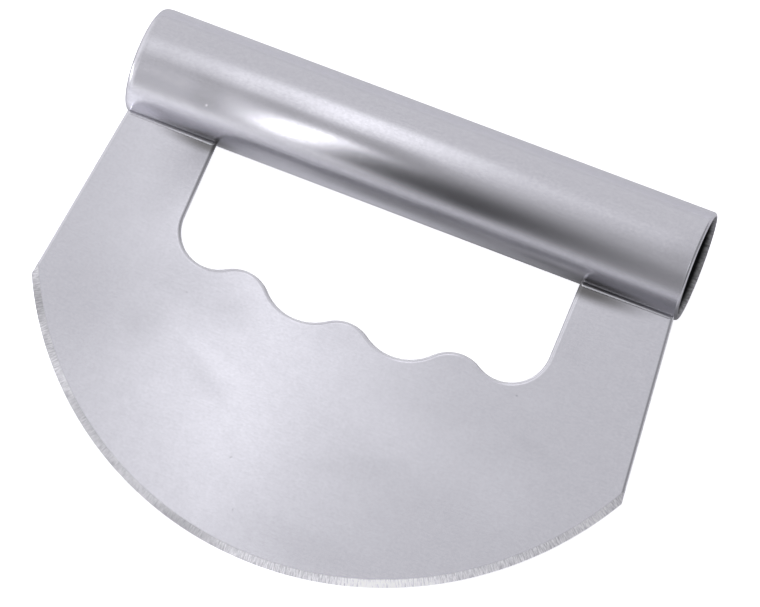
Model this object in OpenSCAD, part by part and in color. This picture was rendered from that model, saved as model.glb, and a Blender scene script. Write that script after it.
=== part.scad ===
// One-hand mezzaluna: a crescent blade whose two legs are welded under an open steel tube.
// It lies on its back as it would on a table: the tube along X, the cutting edge towards -Y,
// the front face up. The origin is under the middle of the whole object.

/* [Handle tube] */
// Outer diameter of the tube
tube_d = 32; // [26:1:40]
// Wall of the tube
tube_wall = 1; // [0.8:0.1:2]
// Length of the tube
tube_length = 167.5; // [155:0.5:190]

/* [Blade] */
// Thickness of the blade's sheet
sheet = 1.5; // [1:0.1:2.5]
// How far the tube stands out past the top of each leg
tube_overhang = 0.7; // [0:0.1:4]
// How far each corner stands out past the top of its leg
corner_flare = 6; // [0:0.1:10]
// Depth of the two corners under the tube
corner_depth = 54; // [48:0.5:60]
// Depth of the lowest point of the cutting edge under the tube
edge_depth = 107; // [95:0.5:115]
// Width of the bevel ground on each face
bevel_width = 2.2; // [0.8:0.1:3]
// Thickness left at the cutting edge
edge_land = 0.1; // [0.05:0.05:0.3]

/* [Finger opening] */
// Radius of the two outer scallops, which run into the legs
outer_scallop_r = 11.1; // [8:0.1:13]
// Depth of the outer scallops under the tube
outer_scallop_depth = 34.3; // [32:0.1:36]
// Radius of the two inner scallops
inner_scallop_r = 14.5; // [11:0.1:16]
// Depth of the inner scallops under the tube
inner_scallop_depth = 38.8; // [36:0.1:42]
// Radius of the crests between the fingers
crest_r = 11; // [8:0.1:12]
// Depth of the top of the two side crests under the tube
side_crest_depth = 31.1; // [28:0.1:31.5]
// Depth of the top of the middle crest under the tube
middle_crest_depth = 34.3; // [32:0.1:35.5]

/* [Welds] */
// Size of a weld bead along the tube and along the blade
bead_size = 1; // [0.6:0.1:2]
// How far a bead stops short of each side of its leg
bead_inset = 0.5; // [0.2:0.1:2]

/* [Hidden] */
$fn = 144;
// How far a cutting shape runs past what it cuts
past = 1;
// How far a crest reaches into the scallops beside it, so that no sliver is left between
crest_bite = 0.002;

tube_r = tube_d / 2;
half_sheet = sheet / 2;
tube_color = [0.76, 0.76, 0.79];
blade_color = [0.70, 0.70, 0.74];
bead_color = [0.84, 0.84, 0.86];

// The blade is drawn upright with the tube's axis at y = 0. This gives the height of a
// place that lies some way under the tube.
function under_tube(depth) = -tube_r - depth;

// Outline of the blade: straight legs that flare down to the corners, then one arc
leg_top_half = tube_length / 2 - tube_overhang;
corner_half = leg_top_half + corner_flare;
arc_height = edge_depth - corner_depth;
edge_r = (corner_half ^ 2 + arc_height ^ 2) / (2 * arc_height);
edge_centre_y = under_tube(edge_depth - edge_r);
function leg_side(depth) = leg_top_half + corner_flare * depth / corner_depth;

// Finger opening: every scallop touches the crest beside it, so their radii and depths
// give how far apart they lie along the tube.
function beside(scallop_y, crest_y, scallop_r) =
    sqrt((scallop_r + crest_r) ^ 2 - (scallop_y - crest_y) ^ 2);
outer_y = under_tube(outer_scallop_depth - outer_scallop_r);
inner_y = under_tube(inner_scallop_depth - inner_scallop_r);
side_crest_y = under_tube(side_crest_depth + crest_r);
middle_crest_y = under_tube(middle_crest_depth + crest_r);
inner_x = beside(inner_y, middle_crest_y, inner_scallop_r);
side_crest_x = inner_x + beside(inner_y, side_crest_y, inner_scallop_r);
outer_x = side_crest_x + beside(outer_y, side_crest_y, outer_scallop_r);
opening_half = outer_x + outer_scallop_r;

// Weld beads: slightly domed fillets in the corner between the tube and a face of the blade
bead_length = leg_top_half - opening_half - 2 * bead_inset;
bead_middle_x = (leg_top_half + opening_half) / 2;
bead_corner_y = -sqrt(tube_r ^ 2 - half_sheet ^ 2);
bead_round_r = bead_size * sqrt(5);

// Laid down, the object rests on the tube and on the blade's lowest point, which is
// either the shoulder of the bevel or the edge itself.
edge_reach = tube_r + edge_depth;
shoulder_reach = edge_reach - bevel_width;
function lean(reach, half_thickness) =
    asin(tube_r / norm([reach, half_thickness])) - atan(half_thickness / reach);
tilt = min(lean(shoulder_reach, half_sheet), lean(edge_reach, edge_land / 2));
front_reach = edge_reach * cos(tilt) + edge_land / 2 * sin(tilt);
tube_y = (front_reach - tube_r) / 2;

module laid_down() {
    translate([0, tube_y, tube_r]) rotate([tilt, 0, 0]) children();
}

module rod(r, length) {
    rotate([0, 90, 0]) cylinder(r = r, h = length, center = true);
}

module both_sides() {
    children();
    mirror([1, 0, 0]) children();
}

// The straight-sided plate that the blade is cut from, thicker than the sheet
module leg_plate() {
    top = -tube_wall;
    bottom = edge_depth + past;
    linear_extrude(sheet + 2 * past, center = true)
        polygon([
            [-leg_side(top), under_tube(top)],
            [leg_side(top), under_tube(top)],
            [leg_side(bottom), under_tube(bottom)],
            [-leg_side(bottom), under_tube(bottom)]
        ]);
}

// A disc of the sheet's thickness with the bevels ground on both faces of its rim
module ground_disc() {
    shoulder_r = edge_r - bevel_width;
    translate([0, edge_centre_y, 0])
        rotate_extrude()
            polygon([
                [0, -half_sheet],
                [shoulder_r, -half_sheet],
                [edge_r, -edge_land / 2],
                [edge_r, edge_land / 2],
                [shoulder_r, half_sheet],
                [0, half_sheet]
            ]);
}

// The polygon runs through the centres of all the arcs, so each scallop adds to it below
// its own centre and each crest takes away above its own.
module opening_outline() {
    top_y = under_tube(-tube_wall);
    difference() {
        union() {
            polygon([
                [-opening_half, top_y],
                [-opening_half, outer_y],
                [-outer_x, outer_y],
                [-side_crest_x, side_crest_y],
                [-inner_x, inner_y],
                [0, middle_crest_y],
                [inner_x, inner_y],
                [side_crest_x, side_crest_y],
                [outer_x, outer_y],
                [opening_half, outer_y],
                [opening_half, top_y]
            ]);
            both_sides() translate([outer_x, outer_y]) circle(outer_scallop_r);
            both_sides() translate([inner_x, inner_y]) circle(inner_scallop_r);
        }
        both_sides() translate([side_crest_x, side_crest_y]) circle(crest_r + crest_bite);
        translate([0, middle_crest_y]) circle(crest_r + crest_bite);
    }
}

module handle_tube() {
    color(tube_color)
        laid_down()
            difference() {
                rod(tube_r, tube_length);
                rod(tube_r - tube_wall, tube_length + 2 * past);
            }
}

// The tops of the legs are hollowed to sit against the round of the tube
module blade() {
    color(blade_color)
        laid_down()
            difference() {
                intersection() {
                    leg_plate();
                    ground_disc();
                }
                linear_extrude(sheet + 2 * past, center = true) opening_outline();
                rod(tube_r, tube_length + 2 * past);
            }
}

// side is -1 for the left leg and 1 for the right one, face is 1 in front and -1 behind
module weld_bead(side, face) {
    color(bead_color)
        laid_down()
            translate([side * bead_middle_x, 0, 0])
                mirror([0, 0, face < 0 ? 1 : 0])
                    difference() {
                        intersection() {
                            translate([0, bead_corner_y + bead_size, half_sheet - bead_size])
                                rod(bead_round_r, bead_length);
                            translate([-bead_length / 2, bead_corner_y - 2 * bead_size, half_sheet])
                                cube([bead_length, 4 * bead_size, 2 * bead_size]);
                        }
                        rod(tube_r, tube_length);
                    }
}

handle_tube();
blade();
weld_bead(-1, 1);  // weld_left_front
weld_bead(-1, -1);  // weld_left_back
weld_bead(1, 1);  // weld_right_front
weld_bead(1, -1);  // weld_right_back
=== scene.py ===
from math import atan2, cos, pi, radians, sin, sqrt

import bmesh
import bpy
from mathutils import Matrix, Vector


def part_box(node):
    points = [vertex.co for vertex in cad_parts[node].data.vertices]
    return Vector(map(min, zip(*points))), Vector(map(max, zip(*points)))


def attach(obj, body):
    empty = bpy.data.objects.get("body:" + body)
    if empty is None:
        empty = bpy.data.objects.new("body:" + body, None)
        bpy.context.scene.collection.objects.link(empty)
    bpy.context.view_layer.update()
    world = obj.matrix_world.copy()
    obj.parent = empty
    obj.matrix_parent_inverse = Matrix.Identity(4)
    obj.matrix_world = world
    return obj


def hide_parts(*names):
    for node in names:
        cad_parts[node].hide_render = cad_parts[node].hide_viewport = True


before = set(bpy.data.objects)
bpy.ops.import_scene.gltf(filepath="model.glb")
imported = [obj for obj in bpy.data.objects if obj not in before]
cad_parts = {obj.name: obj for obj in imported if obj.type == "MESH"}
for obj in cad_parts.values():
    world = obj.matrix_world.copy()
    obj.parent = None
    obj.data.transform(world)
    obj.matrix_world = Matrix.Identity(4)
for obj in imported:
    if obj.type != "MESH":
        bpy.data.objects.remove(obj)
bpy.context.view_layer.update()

# The object lies on its back: tube along X, cutting edge towards -Y, front face up
tubeLow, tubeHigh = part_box("handle_tube")
tubeMiddle = (tubeLow + tubeHigh) / 2
tubeRadius = (tubeHigh.z - tubeLow.z) / 2 * 1000
tubeHalf = tubeHigh.x * 1000
bladeTilt = radians(7.2553)

# Pieces are modelled upright in millimetres with the tube's axis at the origin, then laid down
laidDown = Matrix.Translation(tubeMiddle) @ Matrix.Rotation(bladeTilt, 4, "X") @ Matrix.Scale(0.001, 4)
near, same = 0.01, 0.0001  # millimetres: close enough to be picked out, close enough to be merged


def addPiece(name, bm, materials):
    mesh = bpy.data.meshes.new(name)
    bm.to_mesh(mesh)
    bm.free()
    piece = bpy.data.objects.new(name, mesh)
    bpy.context.scene.collection.objects.link(piece)
    for material in materials:
        mesh.materials.append(material)
    return piece


def smoothPiece(piece, sharpFrom):
    piece.data.shade_smooth()
    piece.data.set_sharp_from_angle(angle=radians(sharpFrom))
    weighted = piece.modifiers.new("Flat faces stay flat", "WEIGHTED_NORMAL")
    weighted.mode = "FACE_AREA"
    weighted.weight = 100
    weighted.keep_sharp = True


def fillInputs(tree, node, inputs):
    # another node's output is linked, anything else is set on the socket
    for label, value in dict(inputs).items():
        if isinstance(value, bpy.types.NodeSocket):
            tree.links.new(value, node.inputs[label])
        else:
            node.inputs[label].default_value = value


def addNode(tree, kind, at, inputs=(), **settings):
    node = tree.nodes.new("ShaderNode" + kind)
    node.location = at
    for key, value in settings.items():
        setattr(node, key, value)
    fillInputs(tree, node, inputs)
    return node


def addMath(tree, at, operation, *values, **settings):
    return addNode(tree, "Math", at, enumerate(values), operation=operation, **settings).outputs[0]


def addVector(tree, at, operation, *values):
    return addNode(tree, "VectorMath", at, enumerate(values), operation=operation).outputs


def addRange(tree, at, value, start, full, low=0.0, high=1.0, kind="LINEAR"):
    inputs = {"Value": value, "From Min": start, "From Max": full, "To Min": low, "To Max": high}
    return addNode(tree, "MapRange", at, inputs, interpolation_type=kind).outputs[0]


def addMix(tree, at, share, first, second, kind="RGBA"):
    inputs = {"Factor": share, "A": first, "B": second}
    return addNode(tree, "Mix", at, inputs, data_type=kind).outputs["Result"]


def addNoise(tree, at, vector, scale, detail, roughness):
    inputs = {"Vector": vector, "Scale": scale, "Detail": detail, "Roughness": roughness}
    return addNode(tree, "TexNoise", at, inputs).outputs["Fac"]


def addBump(tree, at, height, bump, **under):
    strength, deep = bump  # deep is in millimetres
    inputs = {"Strength": strength, "Distance": deep / 1000, "Height": height, **under}
    return addNode(tree, "Bump", at, inputs).outputs[0]


def splitXyz(tree, at, vector):
    return addNode(tree, "SeparateXYZ", at, {0: vector}).outputs


def joinXyz(tree, at, *values):
    return addNode(tree, "CombineXYZ", at, enumerate(values)).outputs[0]


def addUp(tree, at, parts, total=0.0):
    # total plus every mask times its amount, one node below another
    x, y = at
    for mask, amount in parts:
        total = addMath(tree, (x, y), "MULTIPLY_ADD", mask, amount, total)
        y -= 180
    return total


def newGroup(name, inputs, outputs):
    group = bpy.data.node_groups.new(name, "ShaderNodeTree")
    for label, kind, value in inputs:
        socket = group.interface.new_socket(label, in_out="INPUT", socket_type="NodeSocket" + kind)
        socket.default_value = value
    for label in outputs:
        group.interface.new_socket(label, in_out="OUTPUT", socket_type="NodeSocketFloat")
    start = group.nodes.new("NodeGroupInput")
    start.location = (-900, 0)
    end = group.nodes.new("NodeGroupOutput")
    end.location = (900, 0)
    return group, start, end


maskSpread = (0.38, 0.62)  # a noise keeps to the middle of its range, so this part is stretched to 0-1
grainShares = {"lines": 0.32, "specks": 0.43, "mottle": 0.25}
specksStretch, specksInHeight = (0.7, 1.0, 1.0), 0.4  # specks are a little longer than wide


def brushedGrain():
    # long fine lines along X, specks under half a millimetre, and the slow mottling of satin steel
    group, start, end = newGroup(
        "Brushed grain",
        [("Place", "Vector", (0, 0, 0)), ("Along", "Float", 0.08), ("Across", "Float", 5.0),
         ("Specks", "Float", 2.0), ("Mottle", "Float", 0.35)],
        ["Height", "Mask"])
    place, across = start.outputs["Place"], start.outputs["Across"]
    stretch = joinXyz(group, (-700, -200), start.outputs["Along"], across, across)
    spread = addVector(group, (-500, 200), "MULTIPLY", place, stretch)[0]
    longer = addVector(group, (-500, 0), "MULTIPLY", place, specksStretch)[0]
    noises = {
        "lines": addNoise(group, (-300, 200), spread, 1.0, 5.0, 0.7),
        "specks": addNoise(group, (-300, 0), longer, start.outputs["Specks"], 2.0, 0.5),
        "mottle": addNoise(group, (-300, -200), place, start.outputs["Mottle"], 3.0, 0.6),
    }
    mask = addUp(group, (0, 200), [(noise, grainShares[part]) for part, noise in noises.items()])
    height = addMix(group, (200, 200), specksInHeight, noises["lines"], noises["specks"], "FLOAT")
    fillInputs(group, end, {"Height": height, "Mask": mask})
    return group


def softCloud():
    # one soft patch: its middle, its turn and how far it reaches
    group, start, end = newGroup(
        "Soft cloud",
        [("Place", "Vector", (0, 0, 0)), ("Middle", "Vector", (0, 0, 0)), ("Turn", "Vector", (0, 0, 0)),
         ("Reach", "Vector", (20, 20, 20))],
        ["Mask"])
    centred = addNode(group, "Mapping", (-500, 0), vector_type="TEXTURE", inputs={
        "Vector": start.outputs["Place"], "Location": start.outputs["Middle"],
        "Rotation": start.outputs["Turn"], "Scale": start.outputs["Reach"]})
    far = addVector(group, (-300, 0), "LENGTH", centred.outputs[0])["Value"]
    fillInputs(group, end, {"Mask": addRange(group, (-100, 0), far, 1.0, 0.0, kind="SMOOTHERSTEP")})
    return group


hairlines = {
    "stretch": 0.12, "spacing": 0.06, "width": (0.0012, 0.0002),
    "gapScale": 0.21, "gaps": (0.56, 0.66),  # where they break off
}


def fineScratches():
    # sparse hairlines: thin bands of a stretched noise, broken up by a second one
    group, start, end = newGroup(
        "Fine scratches",
        [("Place", "Vector", (0, 0, 0)), ("Turn", "Vector", (0, 0, 0)), ("Size", "Float", 0.05)],
        ["Mask"])
    place = start.outputs["Place"]
    turned = addNode(group, "Mapping", (-600, 0), vector_type="POINT", inputs={
        "Vector": place, "Rotation": start.outputs["Turn"], "Scale": (hairlines["stretch"], 1, 1)})
    wander = addNoise(group, (-400, 100), turned.outputs[0], start.outputs["Size"], 1.0, 0.4)
    level = addMath(group, (-200, 100), "PINGPONG", wander, hairlines["spacing"])
    thin = addRange(group, (0, 100), level, *hairlines["width"])
    gaps = addNoise(group, (-400, -200), place, hairlines["gapScale"], 2.0, 0.5)
    some = addRange(group, (-200, -200), gaps, *hairlines["gaps"])
    fillInputs(group, end, {"Mask": addMath(group, (200, 0), "MULTIPLY", thin, some)})
    return group


groups = {"grain": brushedGrain(), "cloud": softCloud(), "scratches": fineScratches()}
print("shader groups ready")


def useGroup(tree, name, at, **values):
    return addNode(tree, "Group", at, values, node_tree=groups[name]).outputs


def softPatch(tree, at, place, middle, reach, turn=0):
    cloud = useGroup(tree, "cloud", at, Place=place, Middle=middle, Reach=reach, Turn=(0, 0, radians(turn)))
    return cloud["Mask"]


def steelMaterial(name, look):
    # shared start of every steel here: places in millimetres as modelled, and the Principled shader
    material = bpy.data.materials.new(name)
    material.use_nodes = True
    tree = material.node_tree
    tree.nodes.clear()
    along = joinXyz(tree, (1000, -400), 1.0)  # the grain runs along X
    steel = addNode(tree, "BsdfPrincipled", (1200, 0), distribution="MULTI_GGX", inputs={
        "Metallic": 1.0, "Anisotropic": look["anisotropy"], "Anisotropic Rotation": 0.25, "Tangent": along})
    addNode(tree, "OutputMaterial", (1500, 0), {"Surface": steel.outputs[0]})
    places = addNode(tree, "TexCoord", (-1500, 0)).outputs["Object"]
    millimetres = addNode(tree, "Mapping", (-1300, 0), vector_type="TEXTURE", inputs={
        "Vector": places, "Location": tubeMiddle, "Rotation": (bladeTilt, 0, 0),
        "Scale": (0.001, 0.001, 0.001)})
    return material, tree, steel, millimetres.outputs[0]


def bothFaces(tree, place):
    # the same place on the front and on the back of the object
    parts = splitXyz(tree, (-1100, -600), place)
    out = addMath(tree, (-900, -700), "ABSOLUTE", parts["Z"])
    return joinXyz(tree, (-700, -600), parts["X"], parts["Y"], out)


def tonePatches(tree, place, colour, patches):
    # lighter and darker patches painted into the colour, mostly painted reflection and shade. Each patch is
    # (middle, reach, turn in degrees, how much lighter or darker it makes the steel)
    parts = [(softPatch(tree, (-500, -600 - 180 * i), place, middle, reach, turn), amount)
             for i, (middle, reach, turn, amount) in enumerate(patches)]
    level = addUp(tree, (-300, -600), parts, 1.0)
    toned = addNode(tree, "VectorMath", (500, 200), {0: colour, "Scale": level}, operation="SCALE")
    return toned.outputs[0]


def paintedWeldShade(tree, place, colour, look):
    # painted shade: the dark reflection of each leg and the shade in the corner at each weld, darkened into
    # the colour of tube and blade
    for i, (middle, reach, amount) in enumerate(look["weldShadePatches"]):
        y = 900 + 200 * i
        patch = softPatch(tree, (-100, y), place, middle, reach)
        share = addMath(tree, (100, y), "MULTIPLY", patch, amount)
        colour = addMix(tree, (300, y), share, colour, look["weldShadeColour"])
    return colour


def satinFinish(tree, place, look):
    # colour, roughness and height of a brushed face
    grain = useGroup(tree, "grain", (-900, 100), Place=place, **look["grain"])
    spread = addRange(tree, (-600, 300), grain["Mask"], *maskSpread)
    colour = addMix(tree, (-400, 300), spread, look["dull"], look["bright"])
    scratches = useGroup(tree, "scratches", (-600, 520), Place=place, Size=look["scratchSize"],
                         Turn=(0, 0, radians(look["scratchTurn"])))
    weak = addMath(tree, (-400, 520), "MULTIPLY", scratches["Mask"], look["scratchShow"])
    colour = addMix(tree, (-200, 300), weak, colour, look["scratchColour"])
    rough = addRange(tree, (-400, 0), grain["Mask"], *maskSpread, look["roughHigh"], look["roughLow"])
    return colour, rough, grain["Height"]


tubeLook = {
    "bright": (0.605, 0.60, 0.645, 1), "dull": (0.555, 0.55, 0.595, 1),
    "roughLow": 0.185, "roughHigh": 0.215, "anisotropy": 0.72,
    "grain": {"Along": 0.10, "Across": 3.4, "Specks": 1.6, "Mottle": 0.6},
    "bump": (0.2, 0.006),  # strength, height in millimetres
    "scratchColour": (0.78, 0.78, 0.80, 1), "scratchSize": 0.05, "scratchTurn": 12, "scratchShow": 0.2,
    # painted shade at the welds: the dark reflection of each leg in the tube above its weld, and the shade
    # in the corner
    "weldShadeColour": (0.085, 0.082, 0.078, 1),
    "weldShadePatches": (
        ((-63, -16.2, 0.8), (21, 7.0, 6.0), 0.55), ((-57, -16.2, 1.4), (10, 6, 7), 0.40),
        ((64, -16.2, 0.8), (27, 7.0, 6.2), 0.66), ((58, -16.2, 1.4), (13, 6, 7), 0.35),
    ),
    # painted reflection and shade: patches that make the tube's colour lighter or darker
    "patches": (
        # two small light spots
        ((-59.6, -9.7, 12.75), (0.4, 0.55, 0.55), 0, 0.8), ((-13.1, -8.1, 13.8), (0.4, 0.6, 0.6), 0, 0.5),
        ((-79, -15.4, 4.4), (11, 4, 5), 0, 0.60),  # painted reflection: the leg's reflection is paler near the end
        # painted reflection: slow changes of tone along the tube, lighter and darker where the reflections
        # are
        ((-38, -1.5, 16), (24, 6, 6), 0, -0.17), ((-8, -3, 15.7), (26, 4, 4), 0, -0.15),
        ((-60, -8, 13.8), (10, 7, 7), 0, -0.16), ((-60, -2, 15.8), (13, 6, 6), 0, -0.09),
        ((-83, -1, 16), (10, 6, 6), 0, 0.10), ((81, -1, 16), (9, 8, 6), 0, -0.09),
        ((22, -10.5, 12), (16, 3, 3), 0, -0.15),
        ((47, -14.6, 6.4), (14, 2.4, 3), 0, 0.14), ((70, -15.3, 4.6), (22, 2.4, 3), 0, 0.15),
    ),
}


def tubeMaterial():
    material, tree, steel, place = steelMaterial("Satin tube steel", tubeLook)
    colour, rough, height = satinFinish(tree, place, tubeLook)
    faces = bothFaces(tree, place)
    colour = paintedWeldShade(tree, faces, tonePatches(tree, faces, colour, tubeLook["patches"]), tubeLook)
    normal = addBump(tree, (900, -250), height, tubeLook["bump"])
    fillInputs(tree, steel, {"Base Color": colour, "Roughness": rough, "Normal": normal})
    return material


boreLook = {
    "mouth": (0.85, 0.85, 0.88, 1), "deep": (0.030, 0.030, 0.032, 1), "anisotropy": 0.0,
    "rough": 0.3, "mouthRough": 0.8, "mouthDepth": 2.0, "mouthLip": 0.2,  # the mouth is deburred and rougher; its colour is lighter and darkens to near black deeper in, painted shade
    "grain": {"Along": 0.05, "Across": 1.6, "Specks": 1.2, "Mottle": 0.25},
    "uneven": (0.40, 0.60, 0.45, 1.3),  # the grain from, to, and the mouth's share from, to
}


def boreMaterial():
    # the inside of the tube: painted shade darkens the colour to near black deeper in from each mouth, with
    # long faint streaks
    material, tree, steel, place = steelMaterial("Bore steel with painted shade", boreLook)
    grain = useGroup(tree, "grain", (-900, 0), Place=place, **boreLook["grain"])
    far = addMath(tree, (-700, -300), "ABSOLUTE", splitXyz(tree, (-900, -300), place)["X"])
    deep, lip = tubeHalf - boreLook["mouthDepth"], tubeHalf - boreLook["mouthLip"]
    mouth = addRange(tree, (-500, -300), far, deep, lip, kind="SMOOTHSTEP")
    uneven = addRange(tree, (-300, -200), grain["Mask"], *boreLook["uneven"])
    share = addMath(tree, (-100, -200), "MULTIPLY", mouth, uneven, use_clamp=True)
    colour = addMix(tree, (100, 200), share, boreLook["deep"], boreLook["mouth"])
    rough = addRange(tree, (100, -100), share, 0.0, 1.0, boreLook["rough"], boreLook["mouthRough"])
    fillInputs(tree, steel, {"Base Color": colour, "Roughness": rough})
    return material


tube = {
    "wall": 1.0, "rimAlong": (2.7, 0.95), "rimAcross": 0.86, "rimSteps": 18,  # the left rim is rounder
    "boreRim": 0.13, "boreSteps": 3, "boreUpTo": 0.05,  # the bore's finish goes this far up its rim
    "aroundSteps": 320,
    "pastRim": 0.25, "nearEnd": 6,  # extra rings, which keep the shading of the long faces even
    "sharpFrom": 50,
}


def makeTube():
    # a section of the wall gets its rims, then it is spun round the axis
    bm = bmesh.new()
    r, wall, across = tubeRadius, tube["wall"], tube["rimAcross"]
    inside = r - wall + near
    section = [bm.verts.new(co) for co in (
        (-tubeHalf, 0, r), (tubeHalf, 0, r), (tubeHalf, 0, r - wall), (-tubeHalf, 0, r - wall))]
    bm.faces.new(section)
    bmesh.ops.bevel(bm, geom=section[:2], offset=across, offset_type="OFFSET",
                    segments=tube["rimSteps"], profile=0.5, affect="VERTICES", material=-1)
    for end, along in zip((-tubeHalf, tubeHalf), tube["rimAlong"]):  # the rims are drawn out along the tube
        rim = [v for v in bm.verts if abs(v.co.x - end) < across + near and v.co.z > inside]
        bmesh.ops.scale(bm, vec=(along / across, 1, 1), space=Matrix.Translation((-end, 0, 0)), verts=rim)
    inner = [v for v in bm.verts if v.co.z < inside]
    bmesh.ops.bevel(bm, geom=inner, offset=tube["boreRim"], offset_type="OFFSET",
                    segments=tube["boreSteps"], profile=0.5, affect="VERTICES", material=-1)
    bmesh.ops.delete(bm, geom=bm.faces[:], context="FACES_ONLY")
    bmesh.ops.spin(bm, geom=bm.verts[:] + bm.edges[:], cent=(0, 0, 0), axis=(1, 0, 0), dvec=(0, 0, 0),
                   angle=2 * pi, steps=tube["aroundSteps"], use_merge=True)
    bmesh.ops.remove_doubles(bm, verts=bm.verts[:], dist=same)
    for x in (tubeHalf - max(tube["rimAlong"]) - tube["pastRim"], tubeHalf - tube["nearEnd"], tubeHalf / 2):
        for side in (-1, 1):
            bmesh.ops.bisect_plane(bm, geom=bm.verts[:] + bm.edges[:] + bm.faces[:], dist=same,
                                   plane_co=(side * x, 0, 0), plane_no=(side, 0, 0))
    bmesh.ops.recalc_face_normals(bm, faces=bm.faces[:])
    for face in bm.faces:
        middle = face.calc_center_median()
        if Vector((0, middle.y, middle.z)).length < r - wall + tube["boreUpTo"]:
            face.material_index = 1
    bmesh.ops.transform(bm, matrix=laidDown, verts=bm.verts[:])
    piece = addPiece("tube_satin", bm, [tubeMaterial(), boreMaterial()])
    smoothPiece(piece, tube["sharpFrom"])
    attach(piece, "root")
    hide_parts("handle_tube")


makeTube()
print("tube made")

blade = {
    "sheet": 1.5, "edgeRound": 1.2, "edgeDrop": 0.68, "roundSteps": 9,  # edges are rounded wider than deep
    "topHalf": 83.05, "cornerFlare": 6.0, "cornerDepth": 54.0, "edgeDepth": 107.0,
    "bevelWidth": 2.2, "edgeLand": 0.1, "grindSteps": 480,
    "spare": 3, "grinderPast": 2.0,  # how far the blank goes past the edge, and the grinder past the sheet
    "outerScallop": (11.1, 34.3), "innerScallop": (14.5, 38.8),  # radius, depth under the tube
    "crestRadius": 11.0, "sideCrest": 31.1, "middleCrest": 34.3,
    "scallopSteps": 40, "crestSteps": 26, "sharpFrom": 13,
}


def underTube(depth):
    return -tubeRadius - depth


def beside(scallopY, crestY, scallopRadius):
    # how far along the tube a scallop and a crest lie apart when they touch
    return sqrt((scallopRadius + blade["crestRadius"]) ** 2 - (scallopY - crestY) ** 2)


cornerHalf = blade["topHalf"] + blade["cornerFlare"]
arcHeight = blade["edgeDepth"] - blade["cornerDepth"]
edgeRadius = (cornerHalf ** 2 + arcHeight ** 2) / (2 * arcHeight)
edgeCentre = Vector((0, underTube(blade["edgeDepth"] - edgeRadius), 0))

outerRadius, outerDepth = blade["outerScallop"]
innerRadius, innerDepth = blade["innerScallop"]
outerY = underTube(outerDepth - outerRadius)
innerY = underTube(innerDepth - innerRadius)
sideCrestY = underTube(blade["sideCrest"] + blade["crestRadius"])
middleCrestY = underTube(blade["middleCrest"] + blade["crestRadius"])
innerX = beside(innerY, middleCrestY, innerRadius)
sideCrestX = innerX + beside(innerY, sideCrestY, innerRadius)
outerX = sideCrestX + beside(outerY, sideCrestY, outerRadius)
openingHalf = outerX + outerRadius


def straightOn(bm, last, point):
    new = bmesh.ops.extrude_vert_indiv(bm, verts=[last])["verts"][0]
    new.co = point
    return new


def turnOn(bm, last, centre, angle, steps):
    turned = bmesh.ops.spin(bm, geom=[last], cent=centre, axis=(0, 0, 1), dvec=(0, 0, 0),
                            angle=angle, steps=steps)
    return [v for v in turned["geom_last"] if isinstance(v, bmesh.types.BMVert)][0]


def bearing(start, end):
    return atan2(end[1] - start[1], end[0] - start[0])


def makePlate():
    # right half of the outline, from the bottom middle round to the top of the middle crest
    bm = bmesh.new()
    topY = -sqrt(tubeRadius ** 2 - (blade["sheet"] / 2) ** 2)
    bottom = blade["edgeDepth"] + blade["spare"]
    bottomY = underTube(bottom)
    flare = blade["cornerFlare"] / blade["cornerDepth"]
    last = bm.verts.new((0, bottomY, 0))
    for point in ((blade["topHalf"] + flare * bottom, bottomY, 0), (blade["topHalf"], topY, 0),
                  (openingHalf, topY, 0), (openingHalf, outerY, 0)):
        last = straightOn(bm, last, point)
    outer, side = (outerX, outerY, 0), (sideCrestX, sideCrestY, 0)
    inner, middle = (innerX, innerY, 0), (0, middleCrestY, 0)
    last = turnOn(bm, last, outer, bearing(outer, side), blade["scallopSteps"])
    last = turnOn(bm, last, side, bearing(side, inner) - bearing(side, outer), blade["crestSteps"])
    last = turnOn(bm, last, inner, bearing(inner, middle) - bearing(inner, side), blade["scallopSteps"])
    turnOn(bm, last, middle, pi / 2 - bearing(middle, inner), blade["crestSteps"] // 2)
    bmesh.ops.mirror(bm, geom=bm.verts[:] + bm.edges[:], matrix=Matrix.Identity(4), axis="X",
                     merge_dist=0.001)
    bmesh.ops.edgeloop_fill(bm, edges=bm.edges[:])

    # the sheet is drawn too thick while its edges are rounded, then pressed to its real thickness
    thicker = blade["edgeRound"] / blade["edgeDrop"]
    half = blade["sheet"] / 2 * thicker
    bmesh.ops.translate(bm, vec=(0, 0, -half), verts=bm.verts[:])
    grown = bmesh.ops.extrude_face_region(bm, geom=bm.faces[:])["geom"]
    raised = [v for v in grown if isinstance(v, bmesh.types.BMVert)]
    bmesh.ops.translate(bm, vec=(0, 0, 2 * half), verts=raised)
    bmesh.ops.recalc_face_normals(bm, faces=bm.faces[:])

    # every edge of the sheet is tumbled round, apart from what meets the tube and what is ground off
    rounded = []
    for edge in bm.edges:
        a, b = edge.verts[0].co, edge.verts[1].co
        atTop = min(a.y, b.y) > topY - near
        atBottom = max(a.y, b.y) < bottomY + near
        if abs(a.z - b.z) < near and not atTop and not atBottom:
            rounded.append(edge)
    bmesh.ops.bevel(bm, geom=rounded, offset=blade["edgeRound"], offset_type="OFFSET",
                    segments=blade["roundSteps"], profile=0.5, affect="EDGES", clamp_overlap=False,
                    material=-1)
    bmesh.ops.scale(bm, vec=(1, 1, 1 / thicker), verts=bm.verts[:])
    bmesh.ops.recalc_face_normals(bm, faces=bm.faces[:])
    return bm


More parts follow.
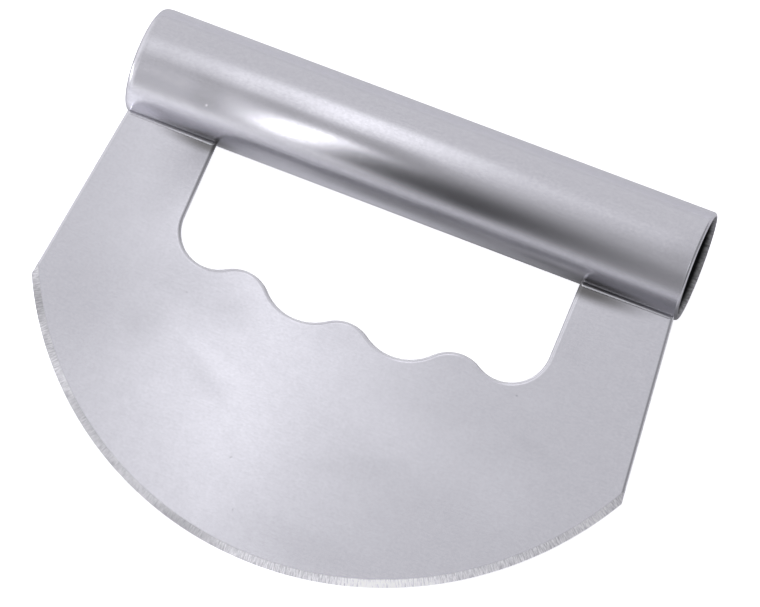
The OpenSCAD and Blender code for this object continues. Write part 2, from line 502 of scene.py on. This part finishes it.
def makeGrinder():
    # a disc with both bevels on its rim, carried on past the sheet so that no faces coincide
    bm = bmesh.new()
    half, land, past = blade["sheet"] / 2, blade["edgeLand"] / 2, blade["grinderPast"]
    slope = blade["bevelWidth"] / (half - land)
    flank = edgeRadius - blade["bevelWidth"] - slope * past
    last = bm.verts.new((0, 0, -half - past))
    for radius, z in ((flank, -half - past), (edgeRadius, -land), (edgeRadius, land), (flank, half + past),
                      (0, half + past)):
        last = straightOn(bm, last, (radius, 0, z))
    bmesh.ops.spin(bm, geom=bm.verts[:] + bm.edges[:], cent=(0, 0, 0), axis=(0, 0, 1), dvec=(0, 0, 0),
                   angle=2 * pi, steps=blade["grindSteps"], use_merge=True)
    bmesh.ops.remove_doubles(bm, verts=bm.verts[:], dist=same)
    bmesh.ops.recalc_face_normals(bm, faces=bm.faces[:])
    bmesh.ops.translate(bm, vec=edgeCentre, verts=bm.verts[:])
    return bm


bladeLook = {
    "bright": (0.606, 0.602, 0.649, 1), "dull": (0.561, 0.557, 0.602, 1),
    "roughLow": 0.20, "roughHigh": 0.22, "anisotropy": 0.5,
    "grain": {"Along": 0.24, "Across": 3.0, "Specks": 1.5, "Mottle": 0.30},
    "bump": (0.2, 0.004),  # strength, height in millimetres
    "scratchColour": (0.64, 0.64, 0.69, 1), "scratchSize": 0.035, "scratchTurn": 25, "scratchShow": 0.2,
    "edgeSheenColour": (0.80, 0.797, 0.84, 1), "edgeSheenFrom": 0.04, "edgeSheenFull": 0.35,  # painted sheen on the rounded edges: it starts and is full this far below the face
    # the scallops are only tumbled, so they are rougher and duller than the legs, but their edges are
    # painted lighter still as painted sheen: from, to, across and down the blade
    "tumbled": 0.62, "openingSheenColour": (0.97, 0.968, 1.0, 1), "openingSheenX": (60, 57), "openingSheenY": (-40, -46),
    # painted shade on the blade just under each weld bead
    "weldShadeColour": (0.085, 0.082, 0.078, 1),
    "weldShadePatches": (((-58, -17.2, 0.75), (20, 3.8, 2), 0.75), ((58, -17.8, 0.75), (25, 4.4, 2), 0.85)),
    # slow changes of tone, partly painted: painted shade on the legs under the welds, then painted
    # reflections and uneven tone on the rest of the face
    "patches": (
        ((-57, -22, 0.75), (20, 20, 5), 0, -0.22), ((-57, -19, 0.75), (8, 9, 5), 0, -0.12),
        ((-64, -37, 0.75), (9, 12, 5), 0, -0.05), ((60, -35, 0.75), (12, 8, 5), 0, -0.02),
        ((-44, -56, 0.75), (26, 17, 5), 0, -0.11), ((-20, -91, 0.75), (24, 30, 5), 20, 0.075),
        ((32, -76, 0.75), (36, 15, 5), -10, 0.07), ((-68, -70, 0.75), (26, 26, 5), 0, -0.07),
        ((-3, -54, 0.75), (16, 10, 5), 0, -0.06), ((58, -80, 0.75), (18, 20, 5), 0, 0.05),
        ((12, -113, 0.75), (26, 9, 5), 0, -0.06), ((-31, -74, 0.75), (19, 4, 5), -20, 0.06),
        ((-30, -81, 0.75), (14, 5, 5), -30, -0.08), ((-31, -60, 0.75), (13, 9, 5), 0, -0.06),
        ((-53, -71, 0.75), (10, 10, 5), 0, -0.07), ((-42, -88, 0.75), (10, 9, 5), 0, 0.035),
        ((16, -88, 0.75), (26, 6, 5), 19, -0.04), ((44, -67, 0.75), (13, 6, 5), 19, 0.03),
        ((57, -52, 0.75), (8, 6, 5), 0, 0.03), ((61, -65, 0.75), (12, 4, 5), -8, -0.035),
        ((29, -50, 0.75), (16, 5, 5), 0, -0.035), ((-17, -112, 0.75), (10, 9, 5), 0, 0.045),
        # small pits
        ((-15.6, -97.8, 0.75), (0.4, 0.9, 5), -35, -0.26),
        ((-9.3, -111.2, 0.75), (0.35, 0.7, 5), 10, -0.20),
        ((-45.8, -59.0, 0.75), (0.5, 0.4, 5), 0, -0.16), ((51.1, -52.6, 0.75), (0.6, 0.4, 5), 20, -0.26),
    ),
}
bevelLook = {
    "bright": (0.97, 0.963, 1.0, 1), "dull": (0.53, 0.525, 0.565, 1), "rough": 0.42,
    "marksAlong": 2.4, "marksAcross": 0.35, "bump": (0.5, 0.02), "fade": 0.08,
    "shoulder": (0.40, 0.40, 0.43, 1), "shoulderWidth": 0.3, "shoulderShow": 0.35,
    # painted reflection: lighter and darker stretches along the bevel
    "patches": (
        ((-58, -103, 0.4), (90, 90, 5), 0, -0.37), ((38, -114, 0.4), (28, 18, 5), 0, 0.28),
        ((34, -116, 0.4), (13, 9, 5), 0, 0.16),
        ((-20, -120, 0.4), (22, 9, 5), 0, -0.22), ((-85, -77, 0.4), (9, 11, 5), 0, -0.24),
        ((-69, -94, 0.4), (10, 10, 5), 0, 0.15), ((84, -77, 0.4), (12, 12, 5), 0, 0.16),
    ),
}


def paintEdgeSheen(tree, place, colour, rough):
    # painted sheen: the rounded edges, and the scallops' edges most, get a lighter colour than the face
    parts = splitXyz(tree, (0, -300), place)
    start, full = (blade["sheet"] / 2 - bladeLook[k] for k in ("edgeSheenFrom", "edgeSheenFull"))
    share = addRange(tree, (200, -300), parts["Z"], start, full, kind="SMOOTHSTEP")
    colour = addMix(tree, (400, -100), share, colour, bladeLook["edgeSheenColour"])
    aside = addMath(tree, (200, -600), "ABSOLUTE", parts["X"])
    for value, where, y in ((aside, "openingSheenX", -500), (parts["Y"], "openingSheenY", -700)):
        within = addRange(tree, (400, y), value, *bladeLook[where])
        share = addMath(tree, (600, y), "MULTIPLY", share, within)
    colour = addMix(tree, (800, -300), share, colour, bladeLook["openingSheenColour"])
    return colour, addMix(tree, (800, -500), share, rough, bladeLook["tumbled"], "FLOAT")


def groundEdge(tree, place, faces, colour, rough):
    # the bevel shows the marks of the grinding wheel, which run across it
    parts = splitXyz(tree, (-900, -1900), addVector(tree, (-1100, -1900), "SUBTRACT", place, edgeCentre)[0])
    flat = joinXyz(tree, (-700, -1800), parts["X"], parts["Y"])
    radius = addVector(tree, (-500, -1800), "LENGTH", flat)["Value"]
    angle = addMath(tree, (-700, -2000), "ARCTAN2", parts["X"], parts["Y"])
    shoulder, fade = edgeRadius - blade["bevelWidth"], bevelLook["fade"]
    ground = addRange(tree, (-300, -1700), radius, shoulder - fade, shoulder + fade, kind="SMOOTHSTEP")
    run = addMath(tree, (-500, -2000), "MULTIPLY", angle, edgeRadius * bevelLook["marksAlong"])
    drop = addMath(tree, (-300, -1900), "MULTIPLY", radius, bevelLook["marksAcross"])
    marks = addNoise(tree, (100, -2000), joinXyz(tree, (-100, -2000), run, drop), 1.0, 4.0, 0.75)
    spread = addRange(tree, (300, -1900), marks, *maskSpread)
    wheel = addMix(tree, (500, -1800), spread, bevelLook["dull"], bevelLook["bright"])
    # the ground part takes the wheel's marks, toned by the painted reflection patches
    colour = addMix(tree, (700, 100), ground, colour, tonePatches(tree, faces, wheel, bevelLook["patches"]))
    # a thin darker line where the grinding stops
    off = addMath(tree, (-300, -2200), "SUBTRACT", radius, shoulder)
    gap = addMath(tree, (-100, -2200), "ABSOLUTE", off)
    line = addRange(tree, (100, -2200), gap, bevelLook["shoulderWidth"], 0.0, 0.0,
                    bevelLook["shoulderShow"], "SMOOTHSTEP")
    colour = addMix(tree, (850, 100), line, colour, bevelLook["shoulder"])
    rough = addMix(tree, (700, -100), ground, rough, bevelLook["rough"], "FLOAT")
    # the sheen spreads across the wheel's marks there, and across the grain everywhere else
    grainWay = addMix(tree, (700, -700), ground, (1, 0, 0), flat, "VECTOR")
    way = addVector(tree, (900, -700), "NORMALIZE", grainWay)[0]
    return colour, rough, way, addMath(tree, (700, -500), "MULTIPLY", marks, ground)


def bladeMaterial():
    material, tree, steel, place = steelMaterial("Satin blade steel", bladeLook)
    colour, rough, height = satinFinish(tree, place, bladeLook)
    faces = bothFaces(tree, place)
    colour, rough = paintEdgeSheen(tree, faces, colour, rough)
    colour, rough, way, grooves = groundEdge(tree, place, faces, colour, rough)
    colour = paintedWeldShade(tree, faces, tonePatches(tree, faces, colour, bladeLook["patches"]), bladeLook)
    brushed = addBump(tree, (700, -300), height, bladeLook["bump"])
    normal = addBump(tree, (900, -400), grooves, bevelLook["bump"], Normal=brushed)
    fillInputs(tree, steel, {"Base Color": colour, "Roughness": rough, "Normal": normal, "Tangent": way})
    return material


def makeBlade():
    piece = addPiece("blade_satin", makePlate(), [])
    grinder = addPiece("grinder", makeGrinder(), [])
    grind = piece.modifiers.new("Grind the edge", "BOOLEAN")
    grind.operation = "INTERSECT"
    grind.solver = "EXACT"
    grind.object = grinder
    ground = bpy.data.meshes.new_from_object(piece.evaluated_get(bpy.context.evaluated_depsgraph_get()))
    bpy.data.objects.remove(grinder)
    piece.modifiers.clear()
    piece.data = ground
    ground.transform(laidDown)
    ground.materials.clear()
    ground.materials.append(bladeMaterial())
    smoothPiece(piece, blade["sharpFrom"])
    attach(piece, "root")
    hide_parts("blade")


makeBlade()
print("blade made")

bead = {
    "outerSize": (0.75, 0.85), "innerSize": 1.05,  # left and right. It thickens towards the finger opening
    "ripple": 0.04, "ripplePitch": 1.1, "steps": 150, "ringPoints": 16, "inset": 0.5,
    "endTaper": 0.9, "endSize": 0.25, "sharpFrom": 60,
    # as shares of its size: half its width and height, and how far its ridge and its middle hang down
    "wide": 0.56, "high": 0.42, "hang": 0.30, "drop": 0.46,
}
beadLook = {
    "bright": (0.64, 0.64, 0.67, 1), "dull": (0.48, 0.48, 0.51, 1), "anisotropy": 0.0,
    "roughLow": 0.28, "roughHigh": 0.34, "bump": (0.4, 0.03),
    "grain": {"Along": 1.5, "Across": 3.0, "Specks": 3.0, "Mottle": 0.6},
}


def beadMaterial():
    material, tree, steel, place = steelMaterial("Dressed weld steel", beadLook)
    grain = useGroup(tree, "grain", (-800, 0), Place=place, **beadLook["grain"])
    colour = addMix(tree, (0, 200), grain["Mask"], beadLook["dull"], beadLook["bright"])
    rough = addRange(tree, (0, -100), grain["Mask"], 0.0, 1.0, beadLook["roughHigh"], beadLook["roughLow"])
    normal = addBump(tree, (300, -250), grain["Height"], beadLook["bump"])
    fillInputs(tree, steel, {"Base Color": colour, "Roughness": rough, "Normal": normal})
    return material


def makeBead(name, side, face, material):
    # a rope of metal laid into the corner, ring by ring from the opening outwards
    bm = bmesh.new()
    half = blade["sheet"] / 2
    cornerY = -sqrt(tubeRadius ** 2 - half ** 2)
    start, end = openingHalf + bead["inset"], blade["topHalf"] - bead["inset"]
    length = end - start

    def sizeAt(x):
        size = bead["innerSize"] + (bead["outerSize"][side > 0] - bead["innerSize"]) * (x - start) / length
        size *= 1 + bead["ripple"] * sin(2 * pi * x / bead["ripplePitch"])
        left = min(x - start, end - x) / bead["endTaper"]
        if left < 1:
            size *= bead["endSize"] + (1 - bead["endSize"]) * sqrt(max(0.0, 1 - (1 - left) ** 2))
        return size

    def ringPlace(x):
        size = sizeAt(x)
        shape = Matrix(((1, 0, 0, 0), (0, bead["wide"] * size, -bead["hang"] * size, 0),
                        (0, 0, bead["high"] * size, 0), (0, 0, 0, 1)))
        return Matrix.Translation((x, cornerY - bead["drop"] * size, half)) @ shape

    ring = bmesh.ops.create_circle(bm, cap_ends=True, segments=bead["ringPoints"], radius=1.0)["verts"]
    bmesh.ops.rotate(bm, verts=ring, cent=(0, 0, 0), matrix=Matrix.Rotation(pi / 2, 3, "Y"))
    edges = bm.edges[:]
    x = start
    step = length / bead["steps"]
    place = ringPlace(x)
    bmesh.ops.transform(bm, matrix=place, verts=ring)
    while x < end - step / 2:
        x += step
        grown = bmesh.ops.extrude_edge_only(bm, edges=edges)["geom"]
        ring = [v for v in grown if isinstance(v, bmesh.types.BMVert)]
        edges = [e for e in grown if isinstance(e, bmesh.types.BMEdge) and all(v in ring for v in e.verts)]
        new = ringPlace(x)
        bmesh.ops.transform(bm, matrix=new @ place.inverted(), verts=ring)
        place = new
    bmesh.ops.edgeloop_fill(bm, edges=edges)
    bmesh.ops.scale(bm, vec=(side, 1, face), verts=bm.verts[:])
    bmesh.ops.recalc_face_normals(bm, faces=bm.faces[:])
    bmesh.ops.transform(bm, matrix=laidDown, verts=bm.verts[:])
    piece = addPiece(name + "_bead", bm, [material])
    smoothPiece(piece, bead["sharpFrom"])
    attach(piece, "root")
    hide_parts(name)


weldSteel = beadMaterial()
for name, side, face in (("weld_left_front", -1, 1), ("weld_left_back", -1, -1),
                         ("weld_right_front", 1, 1), ("weld_right_back", 1, -1)):
    makeBead(name, side, face, weldSteel)
print("weld beads made")

floor = {
    "size": 8.0, "gap": 0.0003, "rough": 0.85, "colour": (0.93, 0.93, 0.955, 1), "glow": 0.08, "lift": 0.75,
    # painted shadow (darker) and painted light (lighter) on the floor, seen only in the steel: (middle,
    # reach, amount), in metres
    "darker": (((0.040, 0.022), (0.054, 0.045), 0.52), ((-0.118, 0.058), (0.060, 0.055), 0.85),
               ((-0.006, 0.012), (0.050, 0.026), 0.62), ((0.043, 0.021), (0.018, 0.009), 0.30),
               ((0.012, 0.044), (0.110, 0.010), 0.75), ((0.092, 0.028), (0.040, 0.046), 0.72)),
    "lighter": (((-0.110, -0.030), (0.055, 0.075), 0.65), ((0.0, 0.33), (0.80, 0.26), 0.20),
                ((-0.030, 0.048), (0.085, 0.034), 0.20)),
}


def floorPatches(tree, place, patches, y):
    parts = [(softPatch(tree, (-900, y - 180 * i), place, (*middle, 0), (*reach, 1)), amount)
             for i, (middle, reach, amount) in enumerate(patches)]
    return addUp(tree, (-700, y), parts)


def makeFloor():
    bm = bmesh.new()
    bmesh.ops.create_grid(bm, x_segments=1, y_segments=1, size=floor["size"] / 2)
    material = bpy.data.materials.new("Pale floor")
    material.use_nodes = True
    tree = material.node_tree
    place = addNode(tree, "TexCoord", (-1200, 0)).outputs["Object"]
    seen = addNode(tree, "LightPath", (-900, 300)).outputs
    # painted shadow and painted light on the floor, for reflected rays only
    darker = addMath(tree, (-500, 0), "MULTIPLY", floorPatches(tree, place, floor["darker"], 0),
                     seen["Is Glossy Ray"])
    lighter = addMath(tree, (-500, -200), "MULTIPLY", floorPatches(tree, place, floor["lighter"], -300),
                      seen["Is Glossy Ray"])
    lift = addMath(tree, (-500, 300), "MULTIPLY_ADD", seen["Is Camera Ray"], floor["lift"], floor["glow"])
    fillInputs(tree, tree.nodes["Principled BSDF"], {
        "Base Color": addMix(tree, (-300, 100), darker, floor["colour"], (0, 0, 0, 1)),
        "Roughness": floor["rough"], "Emission Color": floor["colour"],
        "Emission Strength": addMath(tree, (-300, -100), "ADD", lift, lighter)})
    ground = addPiece("floor", bm, [material])
    ground.location.z = -floor["gap"]


makeFloor()

studio = {
    # brightness round the tube: degrees from straight up towards the front (-Y)
    "round": ((-180, 0.95), (-60, 0.89), (-28, 0.87), (-14, 0.87), (0, 0.85), (10, 0.76), (20, 0.60),
              (32, 0.35), (42, 0.18), (52, 0.075), (60, 0.05), (70, 0.06), (78, 0.18), (86, 0.58),
              (96, 0.76), (180, 0.80)),
    # towards the ends of the tube: how far along X, brightness there, and how much of it shows
    "sides": ((-1.0, 0.70, 1), (-0.86, 1.05, 1), (-0.66, 1.15, 1), (-0.36, 0.90, 0), (0.16, 0.50, 0),
              (0.36, 0.28, 0.8), (0.80, 0.28, 0.8), (0.93, 0.62, 1), (0.99, 0.92, 1)),
    "tint": (0.985, 0.982, 1.0, 1),
    # a high window in front: its direction, its radius and its soft edge in degrees, its brightness
    "window": ((0.134, -0.426, 0.895), 14, 3, 0.8),
}

# Soft boxes that the camera doesn't see. Each has its middle in metres, how far it leans (0 upright and
# facing the back, 90 facing down), its turn about the vertical and its roll in its own plane, its width
# and height, its strength, and how much of each half is soft.
softBoxes = (
    {"name": "overheadStrip", "middle": (-0.184, 0.23, 0.80), "lean": 90, "size": (0.20, 0.66),
     "strength": 0.86, "fade": (1.0, 0.3)},
    {"name": "overheadBand", "middle": (-0.17, 0.19, 0.49), "lean": 90, "size": (0.52, 0.26),
     "strength": 0.14, "fade": (0.45, 0.8)},
    {"name": "frontLeftPanel", "middle": (-0.218, -0.256, 0.163), "lean": 24, "size": (0.24, 0.84),
     "strength": 0.66, "fade": (0.40, 0.75)},
    {"name": "frontLeftLamp", "middle": (-0.1065, -0.2305, 0.237), "lean": 37, "roll": 3.4,
     "size": (0.0245, 0.37), "strength": 4.4, "fade": (0.3, 0.8)},
    {"name": "frontLowCard", "middle": (-0.092, -0.255, 0.075), "lean": 5, "size": (0.10, 0.11),
     "strength": 0.85, "fade": (1.0, 1.0)},
    {"name": "frontHighCard", "middle": (-0.071, -0.114, 0.233), "lean": 52, "size": (0.07, 0.08),
     "strength": 0.9, "fade": (1.0, 1.0)},
    {"name": "frontRightPanel", "middle": (0.120, -0.239, 0.232), "lean": 36, "size": (0.32, 0.44),
     "strength": 0.35, "fade": (0.65, 0.5)},
    {"name": "leftEndPanel", "middle": (-0.44, -0.22, 0.13), "lean": 12, "turn": -60,
     "size": (0.30, 0.18), "strength": 3.0, "fade": (0.7, 0.6)},
)


def addRamp(tree, at, value, stops):
    ramp = addNode(tree, "ValToRGB", at, {"Fac": value})
    points = ramp.color_ramp.elements
    while len(points) < len(stops):
        points.new(0.5)
    for point, (position, level) in zip(points, stops):
        point.position = position
        point.color = (level, level, level, 1)
    return ramp.outputs["Color"]


def makeWorld():
    world = bpy.data.worlds.new("Studio")
    world.use_nodes = True
    bpy.context.scene.world = world
    tree = world.node_tree
    way = addNode(tree, "TexCoord", (-1200, 0)).outputs["Generated"]
    parts = splitXyz(tree, (-1000, 0), way)
    front = addMath(tree, (-800, 100), "MULTIPLY", parts["Y"], -1.0)
    turn = addRange(tree, (-400, 100), addMath(tree, (-600, 100), "ARCTAN2", front, parts["Z"]), -pi, pi)
    stops = [((angle + 180) / 360, level) for angle, level in studio["round"]]
    around = addRamp(tree, (-200, 100), turn, stops)
    sideways = addRange(tree, (-600, -200), parts["X"], -1.0, 1.0)
    sides = [((x + 1) / 2, level, share) for x, level, share in studio["sides"]]
    ends = addRamp(tree, (-400, -200), sideways, [(x, level) for x, level, share in sides])
    share = addRamp(tree, (-400, -450), sideways, [(x, share) for x, level, share in sides])
    level = addMix(tree, (100, 0), share, around, ends, "FLOAT")
    direction, outer, inner, brightness = studio["window"]
    towards = addVector(tree, (-600, -700), "DOT_PRODUCT", way, direction)["Value"]
    window = addRange(tree, (-400, -700), towards, cos(radians(outer)), cos(radians(inner)),
                      0.0, brightness, "SMOOTHSTEP")
    total = addMath(tree, (300, 0), "ADD", level, window)
    fillInputs(tree, tree.nodes["Background"], {"Color": studio["tint"], "Strength": total})


def makeSoftBox(box):
    bm = bmesh.new()
    bmesh.ops.create_grid(bm, x_segments=1, y_segments=1, size=0.5)
    material = bpy.data.materials.new(box["name"])
    material.use_nodes = True
    tree = material.node_tree
    tree.nodes.clear()
    parts = splitXyz(tree, (-700, 0), addNode(tree, "TexCoord", (-900, 0)).outputs["Object"])
    masks = []
    for axis, fade, y in (("X", box["fade"][0], 100), ("Y", box["fade"][1], -100)):
        far = addMath(tree, (-500, y), "ABSOLUTE", parts[axis])
        masks.append(addRange(tree, (-300, y), far, 0.5, 0.5 * (1 - fade), kind="SMOOTHSTEP"))
    both = addMath(tree, (-100, 0), "MULTIPLY", *masks)
    power = addMath(tree, (100, 0), "MULTIPLY", both, box["strength"])
    glow = addNode(tree, "Emission", (300, 0), {"Color": studio["tint"], "Strength": power})
    clear = addNode(tree, "BsdfTransparent", (300, -150))
    add = addNode(tree, "AddShader", (500, 0), {0: glow.outputs[0], 1: clear.outputs[0]})
    addNode(tree, "OutputMaterial", (700, 0), {"Surface": add.outputs[0]})
    card = addPiece(box["name"], bm, [material])
    card.matrix_world = (Matrix.Translation(box["middle"])
                         @ Matrix.Rotation(radians(box.get("turn", 0)), 4, "Z")
                         @ Matrix.Rotation(-radians(90 + box["lean"]), 4, "X")
                         @ Matrix.Rotation(radians(box.get("roll", 0)), 4, "Z")
                         @ Matrix.Diagonal((*box["size"], 1, 1)))
    card.visible_camera = False
    card.visible_shadow = False


makeWorld()
for box in softBoxes:
    makeSoftBox(box)

camera = {
    "target": (0.005209, 0.012318, 0.008), "distance": 0.99885,
    "azimuth": 26.7398, "elevation": 67.9934, "roll": -3.9926,
    "lens": 169.565, "sensor": 36, "clip": (0.05, 20),
}


def makeCamera():
    data = bpy.data.cameras.new("Camera")
    data.lens = camera["lens"]
    data.sensor_width = camera["sensor"]
    data.clip_start, data.clip_end = camera["clip"]
    az, el, roll = (radians(camera[k]) for k in ("azimuth", "elevation", "roll"))
    outward = Vector((sin(az) * cos(el), -cos(az) * cos(el), sin(el)))
    right = (-outward).cross(Vector((0, 0, 1))).normalized()
    up = right.cross(-outward)
    right, up = cos(roll) * right + sin(roll) * up, cos(roll) * up - sin(roll) * right
    turn = Matrix((right, up, outward)).transposed().to_4x4()
    cam = bpy.data.objects.new("Camera", data)
    cam.matrix_world = Matrix.Translation(Vector(camera["target"]) + outward * camera["distance"]) @ turn
    bpy.context.scene.collection.objects.link(cam)
    bpy.context.scene.camera = cam


makeCamera()
bpy.context.scene.view_settings.view_transform = "Standard"
print("stage, light and camera set")
